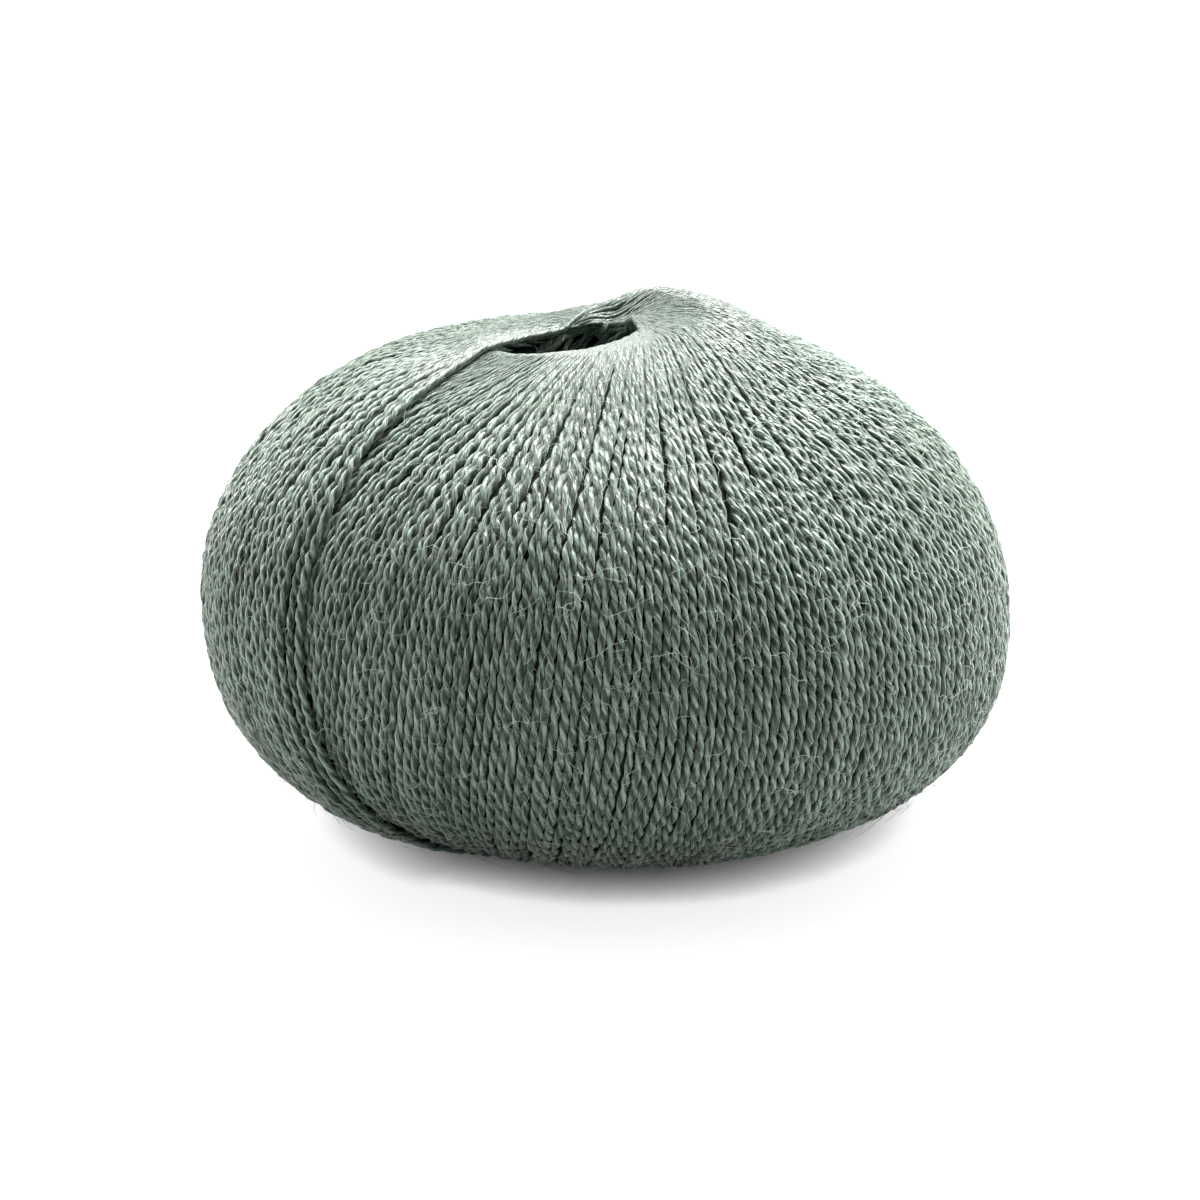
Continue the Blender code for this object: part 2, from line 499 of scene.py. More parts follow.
def put(name: str, data: bpy.types.ID) -> bpy.types.Object:
    """Puts a mesh, a light or a camera into the scene.

    Args:
        name: The new object's name.
        data: What it shows.

    Returns:
        The object.
    """
    thing = bpy.data.objects.new(name, data)
    bpy.context.scene.collection.objects.link(thing)
    return thing


def corners_of(mesh: bpy.types.Mesh) -> Array:
    """Reads the coordinates of a mesh's corners.

    Args:
        mesh: The mesh.

    Returns:
        One corner in each row.
    """
    corners = np.empty(len(mesh.vertices) * 3)
    mesh.vertices.foreach_get("co", corners)
    return corners.reshape(-1, 3)


def mark(mesh: bpy.types.Mesh, name: str, *parts: Array) -> None:
    """Writes a vector attribute of a mesh's corners, from its three parts."""
    attribute = mesh.attributes.new(name, "FLOAT_VECTOR", "POINT")
    attribute.data.foreach_set("vector", np.stack(parts, axis=-1).ravel())


def dress(name: str, mesh: bpy.types.Mesh, material: bpy.types.Material) -> bpy.types.Object:
    """Puts a mesh into the scene as a smooth piece of the ball.

    Args:
        name: The piece's name.
        mesh: Its mesh.
        material: Its finish.

    Returns:
        The piece.
    """
    mesh.polygons.foreach_set("use_smooth", np.ones(len(mesh.polygons), dtype=bool))
    mesh.update()
    mesh.materials.append(material)
    piece = put(name, mesh)
    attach(piece, BODY)
    LOG.info("%s: %d triangles", name, sum(len(face.vertices) - 2 for face in mesh.polygons))
    return piece


class Tubes:
    """Many closed tubes in one mesh: straight ones first, which are then bent along their paths."""

    def __init__(self, name: str, sides: int, rings: list[int]) -> None:
        """Makes the straight tubes, and notes which ring and side each corner belongs to.

        Args:
            name: The mesh's name.
            sides: How many sides each tube has.
            rings: How many rings of corners each tube has, caps included.
        """
        shape = bmesh.new()
        straight = {count: self._straight(sides, count) for count in dict.fromkeys(rings)}
        for count in rings:
            shape.from_mesh(straight[count])
        self.mesh = mesh_of(shape, name)
        for tube in straight.values():
            bpy.data.meshes.remove(tube)
        corners = corners_of(self.mesh)
        counts = np.array(rings)
        first = np.cumsum(counts) - counts
        self.ring = np.repeat(first, counts * sides) + np.round(corners[:, 2]).astype(int)
        turned = np.arctan2(corners[:, 1], corners[:, 0]) / FULL_TURN
        self.side = np.round(turned * sides).astype(int) % sides

    def _straight(self, sides: int, rings: int) -> bpy.types.Mesh:
        """Makes a straight tube of radius 1, divided into rings a unit apart.

        Args:
            sides: How many sides it has.
            rings: How many rings of corners it has, caps included.

        Returns:
            Its mesh, to be copied for every tube of that length.
        """
        tube = bmesh.new()
        bmesh.ops.create_cone(
            tube,
            cap_ends=True,
            cap_tris=False,
            segments=sides,
            radius1=1.0,
            radius2=1.0,
            depth=rings - 1,
            matrix=Matrix.Translation((0.0, 0.0, 0.5 * (rings - 1))),
        )
        risers = [edge for edge in tube.edges if abs(edge.verts[0].co.z - edge.verts[1].co.z) > 0.5]
        bmesh.ops.subdivide_edges(tube, edges=risers, cuts=rings - 2)
        return mesh_of(tube, "straight_tube")

    def bend(self, middle: Array, across: Array, up: Array, reach: Array, angle: Array) -> None:
        """Moves the corners to the tubes' paths, and none of them under the floor.

        Args:
            middle: Each ring's middle.
            across: Each ring's sideways direction.
            up: Its other direction.
            reach: Each corner's distance from its ring's middle.
            angle: Each corner's angle round it.
        """
        corners = middle[self.ring]
        corners = corners + (reach * np.cos(angle))[:, None] * across[self.ring]
        corners = corners + (reach * np.sin(angle))[:, None] * up[self.ring]
        corners[:, 2] = np.maximum(corners[:, 2], 0.0)
        self.mesh.vertices.foreach_set("co", corners.ravel())


@dataclass(frozen=True)
class Turn:
    """One turn of the last layer."""

    number: int
    age: float
    pass_radius: float
    step_angle: float  # the mean angle between turns


@dataclass
class LastLayer:
    """The last revolution of turns, laid strand by strand."""

    form: WoundForm
    yarn: Yarn
    seed: int = 11
    pitch: float = 1.05 * MM  # between neighbouring turns at the girth
    spare: float = 1.1  # how many turns are drawn for each one that the girth has room for
    pitch_jitter: float = 0.05
    last_gap: float = 0.45  # turns between the oldest turn and the newest one, which lies partly over it
    band_tone: float = 1.1  # by which bands of neighbouring turns are lighter or darker than others
    band_reach: float = 3.4 * MM
    tone_jitter: float = 0.9
    pass_swing: float = 0.30 * MM
    pass_period: float = 31.0  # turns
    wander: float = 0.08 * MM
    wander_reach: float = 17.0 * MM
    calm_reach: float = 20.0 * MM  # nearer to a hole than this, turns wander less
    ripple: float = 0.09 * MM
    ripple_reach: float = 8.0 * MM
    relief: float = 0.08 * MM  # by which some turns stand higher than others
    relief_waves: tuple[float, float, float] = (2.4, 1.7, 0.37)
    width_jitter: float = 0.05
    slub: float = 0.07
    lump: float = 0.05
    slub_reach: float = 6.0 * MM
    twist_jitter: float = 0.07
    twist_drift: float = 0.16  # turns of twist
    twist_reach: float = 9.0 * MM
    tightness: float = 0.38  # how much strands overlap their neighbours where they are pressed
    fit: float = 0.93  # share of their width below which neighbours have no room side by side
    least_crowd: float = 0.26  # share of the turns that stay on top where they pass a hole
    dive_share: float = 0.12
    dive_depth: float = 0.85  # strand widths
    sunk_share: float = 0.999  # of a dive, from which a turn doesn't show
    least_room: float = 0.15
    cover_angle: float = math.radians(26.0)  # over which a turn that has passed the hole is covered
    cover_depth: float = 1.05  # strand widths, at least
    covered_depth: float = 1.5  # strand widths, once it is quite covered
    hidden_depth: float = 1.2  # strand widths
    tail: int = 4  # rings that go on out of sight
    tapered: float = 3.0  # rings over which a hidden end thins out
    taper: float = 0.8
    shortest: int = 9  # rings
    neighbours: int = 8
    coarse_below: float = 9.0 * MM
    coarse: float = 1.5
    triangles_per_piece: int = 165_000

    def _ages(self, rng: Chance) -> Array:
        """Every turn's age, the newest turn's first.

        Args:
            rng: The source of chance.

        Returns:
            The ages.
        """
        girth = self.form.girth_radius
        count = int(FULL_TURN * girth / self.pitch * self.spare)
        steps = self.pitch * (1.0 + self.pitch_jitter * rng.uniform(-1.0, 1.0, count))
        ages = (np.cumsum(steps) - steps[0]) / girth
        ages = ages[ages < FULL_TURN]
        return ages * (FULL_TURN - self.last_gap * self.pitch / girth) / ages[-1]

    def _diving(self, number: Array, crowd: Array) -> Array:
        """How far turns have sunk, 0 to 1, where there is room for only a share of them on top."""
        return ease(((number * GOLDEN_SHARE) % 1.0 - crowd) / self.dive_share)

    def _make_room(self, number: int, crowd: Array) -> Array:
        """How far a turn moves aside, so that the turns left on top lie evenly apart.

        Args:
            number: The turn's number.
            crowd: The share of turns that there is room for, at each place.

        Returns:
            The shift at each place, in turns, towards older ones.
        """
        offsets = np.arange(-self.neighbours, self.neighbours + 1)[:, None]
        weight = 1.0 - self._diving(number + offsets, crowd[None, :])
        balance = -(np.sign(offsets) * weight).sum(axis=0)
        return 0.5 * balance / np.maximum(weight.mean(axis=0), self.least_room)

    def stretches(self) -> list[Stretch]:
        """Lays every turn and keeps what shows.

        Returns:
            The visible stretches, the newest turn's first.
        """
        rng = np.random.default_rng(self.seed)
        ages = self._ages(rng)
        across = np.arange(len(ages)) * self.pitch
        bands = self.band_tone * drift(np.random.default_rng(self.seed + 1), across, self.band_reach)
        found = []
        for number, age in enumerate(ages):
            swing = self.pass_swing * math.sin(FULL_TURN * number / self.pass_period)
            turn = Turn(number, age, float(self.form.pass_radius(age)) + swing, FULL_TURN / len(ages))
            track = self.form.track(turn.pass_radius)
            track = track.spaced(self.yarn.ring_spacing, self.coarse_below, self.coarse)
            climb, fall = (self._half(rng, track, turn, half) for half in Half)
            whole = Course.joined([climb, fall.cut(slice(-2, None, -1))])
            found += self._cut(rng, whole, float(bands[number]))
        return found

    def _half(self, rng: Chance, track: Track, turn: Turn, half: Half) -> Course:
        """Lays one half of a turn.

        Args:
            rng: The source of chance.
            track: The half turn's places.
            turn: The turn.
            half: Which half of it.

        Returns:
            Its course.
        """
        form = self.form
        own = turn.age
        reach = form.reach(track, turn.pass_radius)
        ramp = form.ramp(track, reach)
        step = form.step(track)
        press = self.yarn.press(reach)
        slim = self.yarn.slimness(press)
        width = self.yarn.width * slim
        other = (own + HALF_TURN - half.value * 2.0 * track.lay) % FULL_TURN
        covered = ease((own - other) / self.cover_angle)
        foot = width / np.maximum(step, width)
        own_share = (foot + (1.0 - foot) * ease(own / ramp)) * (1.0 - own / FULL_TURN)
        other_share = ease(other / ramp) * (1.0 - other / FULL_TURN)
        surface = step * (own_share + other_share - 1.0)
        sunk = covered * np.maximum(step * other_share, self.cover_depth * width * ease(other / ramp))
        crowd = reach * turn.step_angle / (width * (self.fit - self.tightness * press))
        crowd = np.clip(crowd, self.least_crowd, 1.0)
        dive = self._diving(np.full(len(reach), turn.number), crowd)
        fast, sway, slow = self.relief_waves
        relief = self.relief * math.sin(fast * turn.number + sway * math.sin(slow * turn.number))
        ripple = self.ripple * drift(rng, track.length, self.ripple_reach) + relief
        lift = surface - (0.5 + dive * self.dive_depth) * width - sunk + ripple * slim * (1.0 - press)
        sideways = self.wander * drift(rng, track.length, self.wander_reach)
        sideways = sideways * ease(reach / self.calm_reach) / np.maximum(reach, form.least_reach)
        azimuth = form.edge_azimuth - HALF_TURN - own + sideways
        azimuth = azimuth - self._make_room(turn.number, crowd) * turn.step_angle
        azimuth = azimuth + (track.lay if half is Half.CLIMBING else HALF_TURN - track.lay)
        hidden = np.where(dive > self.sunk_share, self.hidden_depth, 0.0)
        depth = covered * self.covered_depth + dive * self.dive_depth + hidden
        middle = form.place(track, azimuth, lift, 0.5 * self.yarn.width)
        return Course(middle, unit(spokes(azimuth, track.out_radial, track.out_up)), depth, slim, press)

    def _cut(self, rng: Chance, whole: Course, band: float) -> list[Stretch]:
        """Cuts a turn into the stretches that show, and thins their hidden ends.

        Args:
            rng: The source of chance.
            whole: The whole turn's course.
            band: The tone of the turn's neighbourhood.

        Returns:
            The stretches.
        """
        along = whole.along()
        twisting = along / self.yarn.twist_length * (1.0 + rng.normal(0.0, self.twist_jitter))
        twisting = twisting + self.twist_drift * drift(rng, along, self.twist_reach)
        twist = FULL_TURN * (twisting + rng.random())
        slubs = 1.0 + rng.normal(0.0, self.width_jitter) + self.slub * drift(rng, along, self.slub_reach)
        slubs = slubs + rng.normal(0.0, self.lump, len(along))
        tone = band + rng.normal(0.0, self.tone_jitter)
        offset = rng.uniform(0.0, 1.0)
        shown = (whole.depth < self.hidden_depth).astype(float)
        shown = np.convolve(shown, np.ones(2 * self.tail + 1), mode="same") > 0.5
        edges = np.flatnonzero(np.diff(np.concatenate(([0], shown.astype(int), [0]))))
        found = []
        for start, stop in zip(edges[::2], edges[1::2]):
            if stop - start < self.shortest:
                continue
            rows = slice(start, stop)
            course = whole.cut(rows)
            ring = np.arange(stop - start)
            thinned = 1.0 - ease(np.minimum(ring, ring[::-1]) / self.tapered)
            course.slim = course.slim * slubs[rows] * (1.0 - self.taper * thinned)
            course.middle = course.middle - (0.5 * self.yarn.width * thinned)[:, None] * course.outward
            found.append(Stretch(course, twist[rows], tone, offset + along[start]))
        return found


@dataclass
class HoleWall:
    """The arcs of older turns that make up the wall of a hole, toned darker as painted shade."""

    form: WoundForm
    yarn: Yarn
    upward: float
    depth: float
    seed: int
    inset: float = 0.15 * MM  # from the edge of the hole to the arcs' middle lines
    narrowing: float = 0.50  # share of its radius that the wall loses on the way down
    first: float = 0.1 * MM  # below the edge of the hole
    half_angle: float = math.radians(58.0)
    tuck: float = 1.6 * MM  # how far an arc's ends go back into the winding
    tuck_power: int = 6
    slant: float = 4.5 * MM  # by which an arc's end is lower than its start
    unevenness: float = 0.1 * MM
    ring_spacing: float = 0.8 * MM
    smoothed: int = 5  # places over which the edge's corners are rounded off
    pitch: float = 0.60 * MM
    overlap: float = 1.8
    slim: float = 0.70
    press: float = 0.45
    # painted shade: the hole's arcs take a darker tone than the outer turns
    tone: float = -2.0
    tone_jitter: float = 0.3

    def stretches(self) -> list[Stretch]:
        """Lays the arcs.

        Returns:
            One stretch for each arc.
        """
        form = self.form
        on_top = self.upward > 0.0
        rng = np.random.default_rng(self.seed)
        arcs = int(self.depth / self.pitch * self.overlap * HALF_TURN / self.half_angle)
        rings = int(2.0 * self.half_angle * form.hole_radius / self.ring_spacing)
        offset = np.linspace(-1.0, 1.0, rings)
        ones = np.ones(rings)
        found = []
        for number in range(arcs):
            azimuth = FULL_TURN * ((number * GOLDEN_SHARE) % 1.0) + offset * self.half_angle
            edge = form.hole_edge(azimuth) if on_top else np.full(rings, form.far_pass)
            edge = np.pad(edge, self.smoothed // 2, mode="edge")
            edge = np.convolve(edge, np.ones(self.smoothed) / self.smoothed, mode="valid")
            down = self.depth * number / arcs + 0.5 * self.slant * (offset + 1.0)
            down = down + rng.normal(0.0, self.unevenness)
            narrowed = 1.0 - self.narrowing * down / (self.depth + self.slant)
            radius = (edge - self.inset) * narrowed + self.tuck * offset**self.tuck_power
            drop = form.rim_drop(azimuth) if on_top else form.lip_radius * (1.0 - form.pass_lip_share)
            lift = form.rim_lift(azimuth) if on_top else 0.0
            height = form.crest_height(self.upward) + lift - self.upward * (down + drop + self.first)
            height = height + form.tilt(radius, height, azimuth)
            middle = form.points(azimuth, radius, height)
            inward = spokes(azimuth, -1.0, 0.0)
            course = Course(middle, inward, 0.0 * ones, self.slim * ones, self.press * ones)
            twist = FULL_TURN * (rng.random() + course.along() / self.yarn.twist_length)
            found.append(Stretch(course, twist, self.tone + self.tone_jitter * rng.normal(), rng.random()))
        return found


@dataclass
class StrandBuilder:
    """Turns stretches of strand into pieces of twisted yarn."""

    yarn: Yarn
    material: bpy.types.Material
    tone_shift: float = 53.0  # by which strands of different tones take their streaks from apart

    def build(self, name: str, stretches: list[Stretch]) -> None:
        """Makes one piece.

        Args:
            name: The piece's name.
            stretches: The stretches that it holds.
        """
        angles, reaches = self.yarn.corners()
        tubes = Tubes(name, len(angles), [len(stretch.twist) for stretch in stretches])
        ring, side = tubes.ring, tubes.side
        course = Course.joined([stretch.course for stretch in stretches])
        across = np.concatenate([stretch.across() for stretch in stretches])
        forward = np.concatenate([stretch.forward() for stretch in stretches])
        twist = np.concatenate([stretch.twist for stretch in stretches])
        along = np.concatenate([stretch.start + stretch.course.along() for stretch in stretches])
        tone = np.concatenate([np.full(len(stretch.twist), stretch.tone) for stretch in stretches])
        round_share = self.yarn.roundest * course.press[ring]
        reach = (1.0 - round_share) * reaches[side] + round_share * self.yarn.pressed_radius
        angle = angles[side] + twist[ring]
        tubes.bend(course.middle, across, np.cross(across, forward), reach * course.slim[ring], angle)
        place = along / MM + self.tone_shift * tone
        # wind's first part places the painted groove shade, and lay's last part the painted shade on a
        # strand's side that faces the ball
        mark(tubes.mesh, "wind", np.cos(angles[side]), np.sin(angles[side]), place[ring])
        mark(tubes.mesh, "lay", tone[ring], course.press[ring], np.sin(angle))
        dress(name, tubes.mesh, self.material)

    def build_all(self, name: str, stretches: list[Stretch], limit: int) -> None:
        """Makes as many numbered pieces as keep each one under a number of triangles.

        Args:
            name: What the pieces' names start with.
            stretches: All stretches, in order.
            limit: The most triangles in a piece.
        """
        batches: list[list[Stretch]] = [[]]
        total = 0
        for stretch in stretches:
            triangles = 2 * len(self.yarn.corners()[0]) * len(stretch.twist)
            if total + triangles > limit:
                batches.append([])
                total = 0
            batches[-1].append(stretch)
            total += triangles
        for number, batch in enumerate(batches, 1):
            self.build(f"{name}_{number}", batch)


@dataclass
class InnerBody:
    """The body of earlier turns, which shows between the strands as a ground coloured dark as painted shade.
    """

    form: WoundForm
    yarn: Yarn
    material: bpy.types.Material
    columns: int = 216
    sunk: float = 0.72  # strand widths under the tops of the last layer
    crown_depth: float = 25.0 * MM
    base_depth: float = 9.5 * MM
    wall_rows: int = 10
    floor_share: float = 0.35  # of the way up a hole's wall that its rounded floor reaches
    floor_power: float = 0.8
    throat_share: float = 0.6  # the hole's radius where it closes, as a share of its mouth's
    track_spacing: float = 1.5 * MM

    def _wall(self, edge: Track, depth: float, upward: float) -> Track:
        """The wall of a hole, from the middle of its floor up.

        Args:
            edge: The place where the outside ends at the hole.
            depth: The hole's depth under its crest.
            upward: 1 for the top hole, -1 for the bottom one.

        Returns:
            The wall's places, as part of a track.
        """
        share = np.linspace(0.0, 1.0, self.wall_rows, endpoint=False)
        widening = self.throat_share + (1.0 - self.throat_share) * share
        radius = self.form.far_pass * ease(share / self.floor_share) ** self.floor_power * widening
        height = edge.height - upward * (depth - self.form.lip_radius) * (1.0 - share)
        none = 0.0 * share
        lay = none + upward * QUARTER_TURN
        return Track(radius, height, none, none + upward, none, lay, none + edge.length)

    def build(self) -> None:
        """Spins the outline into a closed body and lays the steps of the newest turns into it."""
        outside = self.form.track(self.form.far_pass).spaced(self.track_spacing)
        low = self._wall(outside.cut(slice(0, 1)), self.base_depth, -1.0)
        top = self._wall(outside.cut(slice(-1, None)), self.crown_depth, 1.0)
        track = Track.joined([low, outside, top.cut(slice(None, None, -1))])
        shape = bmesh.new()
        row_of = shape.verts.layers.int.new("row")
        previous = None
        for row, (radius, height) in enumerate(zip(track.radius, track.height)):
            vert = shape.verts.new((0.0, -radius, height))
            vert[row_of] = row
            if previous:
                shape.edges.new((previous, vert))
            previous = vert
        bmesh.ops.spin(
            shape,
            geom=shape.verts[:] + shape.edges[:],
            cent=(0.0, 0.0, 0.0),
            axis=(0.0, 0.0, 1.0),
            angle=FULL_TURN,
            steps=self.columns,
            use_merge=True,
        )
        bmesh.ops.remove_doubles(shape, verts=shape.verts[:], dist=1e-6)
        bmesh.ops.recalc_face_normals(shape, faces=shape.faces[:])
        azimuth = {vert: math.atan2(vert.co.x, -vert.co.y) for vert in shape.verts}
        column = {vert: round(azimuth[vert] / FULL_TURN * self.columns) % self.columns for vert in azimuth}
        shape.verts.sort(key=lambda vert: vert[row_of] * self.columns + column[vert])
        shape.verts.index_update()
        corners = {face: [vert.index for vert in face.verts] for face in shape.faces}
        shape.faces.sort(key=lambda face: min(corners[face]) * len(shape.verts) + max(corners[face]))
        mesh = mesh_of(shape, "inner_body")
        rows = np.empty(len(mesh.vertices), dtype=np.int32)
        mesh.attributes["row"].data.foreach_get("value", rows)
        mesh.attributes.remove(mesh.attributes["row"])
        corners = corners_of(mesh)
        self._lay(mesh, track.cut(rows), np.arctan2(corners[:, 0], -corners[:, 1]))
        piece = dress("inner_body", mesh, self.material)
        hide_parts(BALL_NODE)

    def _lay(self, mesh: bpy.types.Mesh, here: Track, azimuth: Array) -> None:
        """Moves the body's corners to the surface of the earlier turns, and marks the way those wind.

        Args:
            mesh: The body's mesh.
            here: Each corner's place in the outline.
            azimuth: Each corner's azimuth.
        """
        form = self.form
        reach = np.maximum(form.reach(here, form.far_pass), form.least_reach)
        ramp = form.ramp(here, reach)
        behind = self.yarn.width / reach
        climb_age = form.edge_azimuth + HALF_TURN - (azimuth - here.lay)
        fall_age = form.edge_azimuth - (azimuth + here.lay)
        share = np.full(len(azimuth), -1.0)
        for age in (climb_age % FULL_TURN, fall_age % FULL_TURN):
            share += ease((age - behind) / ramp) * (1.0 - age / FULL_TURN)
        width = self.yarn.width * self.yarn.slimness(self.yarn.press(reach))
        lift = form.step(here) * share - self.sunk * width * (here.lip_share > 0.0)
        newest = np.where(climb_age % FULL_TURN < fall_age % FULL_TURN, climb_age, fall_age)
        # the newest turns' direction, from which the ground's grain and its painted shade in the grooves
        # between turns are drawn
        mark(mesh, "wind", np.cos(newest), np.sin(newest), here.length / MM)
        edge = form.hole_edge(azimuth)
        outside = (here.radius - form.far_pass) / (form.crest_radius - form.far_pass)
        lip = edge + (form.crest_radius - edge) * outside
        narrowed = np.where(outside < 0.0, here.radius * edge / form.far_pass, lip)
        at_top = (here.height > form.girth_height) & (outside < 1.0)
        here.radius = np.where(at_top, narrowed, here.radius)
        mesh.vertices.foreach_set("co", form.place(here, azimuth, lift, 0.0).ravel())


@dataclass
class FlyawayFibres:
    """Fine fibres that have worked loose from the yarn and stand off it."""

    roots: list[Stretch]
    yarn: Yarn
    material: bpy.types.Material
    seed: int
    count: int
    length: tuple[float, float]
    radius: float
    rings: int
    stand: tuple[float, float]  # how far the middle of a fibre stands off the yarn
    kink: float  # radians that a fibre turns through between two rings
    upright: float = 0.0  # 1 for fibres that point straight out
    favoured: tuple[float, float, float] = (0.55, -0.80, 0.05)  # the side on which most have worked loose
    favour: float = 0.0
    top_power: int = 4  # keeps them off strands that have sunk under others
    root_height: float = 0.42  # strand widths over the strand's middle
    steepness: tuple[float, float] = (0.6, 1.0)
    arch: tuple[float, float] = (1.2, 2.9)  # radians of a bow's half wave
    thinnest: float = 0.25
    taper_power: int = 3
    sides: int = 3
    helper: tuple[float, float, float] = (0.31, 0.22, 0.93)  # a direction that no fibre follows for long

    def build(self, name: str) -> None:
        """Grows the fibres.

        Args:
            name: The piece's name.
        """
        tubes = Tubes(name, self.sides, [self.rings] * self.count)
        middle = self._middles(np.random.default_rng(self.seed))
        forward = unit(np.gradient(middle, axis=1))
        across = unit(np.cross(forward, self.helper))
        up = np.cross(across, forward)
        taper = np.maximum(1.0 - np.linspace(0.0, 1.0, self.rings) ** self.taper_power, self.thinnest)
        reach = self.radius * np.tile(taper, self.count)[tubes.ring]
        angle = FULL_TURN * tubes.side / self.sides
        tubes.bend(middle.reshape(-1, 3), across.reshape(-1, 3), up.reshape(-1, 3), reach, angle)
        dress(name, tubes.mesh, self.material)

    def _middles(self, rng: Chance) -> Array:
        """The fibres' middle lines.

        Args:
            rng: The source of chance.

        Returns:
            An array of fibres by rings by coordinates.
        """
        course = Course.joined([stretch.course for stretch in self.roots])
        across = np.concatenate([stretch.across() for stretch in self.roots])
        on_top = 1.0 - np.minimum(course.depth, 1.0)
        favoured = np.exp(self.favour * (course.outward @ np.array(self.favoured)))
        chance = on_top**self.top_power * (1.0 - course.press) * favoured
        choice = rng.choice(len(chance), self.count, p=chance / chance.sum())
        out = course.outward[choice]
        root = course.middle[choice] + self.root_height * self.yarn.width * out
        side_way = across[choice]
        fore_way = np.cross(out, side_way)
        length = rng.uniform(*self.length, self.count)
        stand = rng.uniform(*self.stand, self.count)
        share = np.linspace(0.0, 1.0, self.rings)
        bends = rng.normal(0.0, self.kink, (self.count, self.rings))
        turn = rng.uniform(0.0, FULL_TURN, self.count)[:, None] + np.cumsum(bends, axis=1)
        steep = np.cos(self.upright * QUARTER_TURN * rng.uniform(*self.steepness, self.count))
        step = (length / (self.rings - 1))[:, None]
        fore = np.cumsum(np.cos(turn) * step * steep[:, None], axis=1)
        sidewise = np.cumsum(np.sin(turn) * step * steep[:, None], axis=1)
        height = stand[:, None] * np.sin(share * rng.uniform(*self.arch, self.count)[:, None])
        height = height + self.upright * length[:, None] * share[None, :]
        parts = ((fore, fore_way), (sidewise, side_way), (height, out))
        return root[:, None, :] + sum(far[..., None] * way[:, None, :] for far, way in parts)


class NodeBench:
    """A small bench for laying out a node tree."""

    def __init__(self, tree: bpy.types.NodeTree) -> None:
        """Takes the tree to add nodes to."""
        self.tree = tree

    def fill(self, node: bpy.types.Node, inputs: dict[str | int, Value]) -> None:
        """Links or sets some of a node's inputs.

        Args:
            node: The node.
            inputs: What each input gets, by its name or place: a socket or a constant.
        """
        for key, value in inputs.items():
            if isinstance(value, Socket):
                self.tree.links.new(value, node.inputs[key])
            else:
                node.inputs[key].default_value = value

    def add(self, kind: str, inputs: dict[str | int, Value], **settings: object) -> bpy.types.Node:
        """Adds a node.

        Args:
            kind: The node's type name.
            inputs: What its inputs get.
            **settings: Its properties.

        Returns:
            The node.
        """
        node = self.tree.nodes.new(kind)
        row, column = divmod(len(self.tree.nodes), NODE_COLUMNS)
        node.location = (NODE_SPACING[0] * column, NODE_SPACING[1] * row)
        for name, value in settings.items():
            setattr(node, name, value)
        self.fill(node, inputs)
        return node

    def math(self, operation: str, *values: Value) -> Socket:
        """The result of a Math node with one value or two."""
        return self.add("ShaderNodeMath", dict(enumerate(values)), operation=operation).outputs[0]

    def remap(self, value: Value, low: float, high: float, to_low: float, to_high: float) -> Socket:
        """The result of a Map Range node, to_low at low and to_high at high."""
        inputs = {"Value": value, "From Min": low, "From Max": high, "To Min": to_low, "To Max": to_high}
        return self.add("ShaderNodeMapRange", inputs).outputs[0]

    def mix(self, share: Value, first: Value, second: Value) -> Socket:
        """The mix of two colours: the first one at a share of 0, the second one at 1."""
        return self.add("ShaderNodeMix", {0: share, 6: first, 7: second}, data_type="RGBA").outputs[2]

    def parts(self, vector: Value) -> list[Socket]:
        """The three parts of a vector."""
        return list(self.add("ShaderNodeSeparateXYZ", {0: vector}).outputs)

    def attribute(self, name: str) -> Socket:
        """A vector that the mesh's corners carry."""
        return self.add("ShaderNodeAttribute", {}, attribute_name=name).outputs["Vector"]

    def bump(self, height: Value, strength: float, distance: float) -> Socket:
        """The normal of a surface with a relief."""
        inputs = {"Height": height, "Strength": strength, "Distance": distance}
        return self.add("ShaderNodeBump", inputs).outputs["Normal"]

    def fibres(self, group: bpy.types.NodeTree, vector: Value, scale: float, stretch: float) -> list[Socket]:
        """The streaks and the cloud that the shared effect gives along a vector."""
        inputs = {"Vector": vector, "Scale": scale, "Stretch": stretch}
        return list(self.add("ShaderNodeGroup", inputs, node_tree=group).outputs)


def new_material(name: str) -> tuple[bpy.types.Material, NodeBench, bpy.types.Node]:
    """Makes a material with nodes.

    Args:
        name: Its name.

    Returns:
        The material, a bench for its nodes and its Principled shader.
    """
    material = bpy.data.materials.new(name)
    material.use_nodes = True
    return material, NodeBench(material.node_tree), material.node_tree.nodes["Principled BSDF"]


def fibre_group(cloud_scale: float = 0.35) -> bpy.types.NodeTree:
    """Makes the effect that every yarn finish shares: fine streaks of fibre along a direction.

    Args:
        cloud_scale: The scale of the slow changes of tone.

    Returns:
        The node group, with inputs Vector, Scale and Stretch and outputs Streaks and Cloud.
    """
    tree = bpy.data.node_groups.new("fibre_streaks", "ShaderNodeTree")
    tree.interface.new_socket("Vector", in_out="INPUT", socket_type="NodeSocketVector")
    for name, way in (("Scale", "INPUT"), ("Stretch", "INPUT"), ("Streaks", "OUTPUT"), ("Cloud", "OUTPUT")):
        tree.interface.new_socket(name, in_out=way, socket_type="NodeSocketFloat")
    bench = NodeBench(tree)
    given = bench.add("NodeGroupInput", {}).outputs
    along = bench.add("ShaderNodeCombineXYZ", {0: 1.0, 1: 1.0, 2: given["Stretch"]}).outputs[0]
    stretched = {0: given["Vector"], 1: along}
    drawn = bench.add("ShaderNodeVectorMath", stretched, operation="MULTIPLY").outputs[0]
    streaks = {"Vector": drawn, "Scale": given["Scale"], "Detail": 1.0}
    cloud = {"Vector": given["Vector"], "Scale": cloud_scale, "Detail": 1.0}
    results = (bench.add("ShaderNodeTexNoise", inputs).outputs["Fac"] for inputs in (streaks, cloud))
    bench.add("NodeGroupOutput", dict(zip(("Streaks", "Cloud"), results)))
    return tree


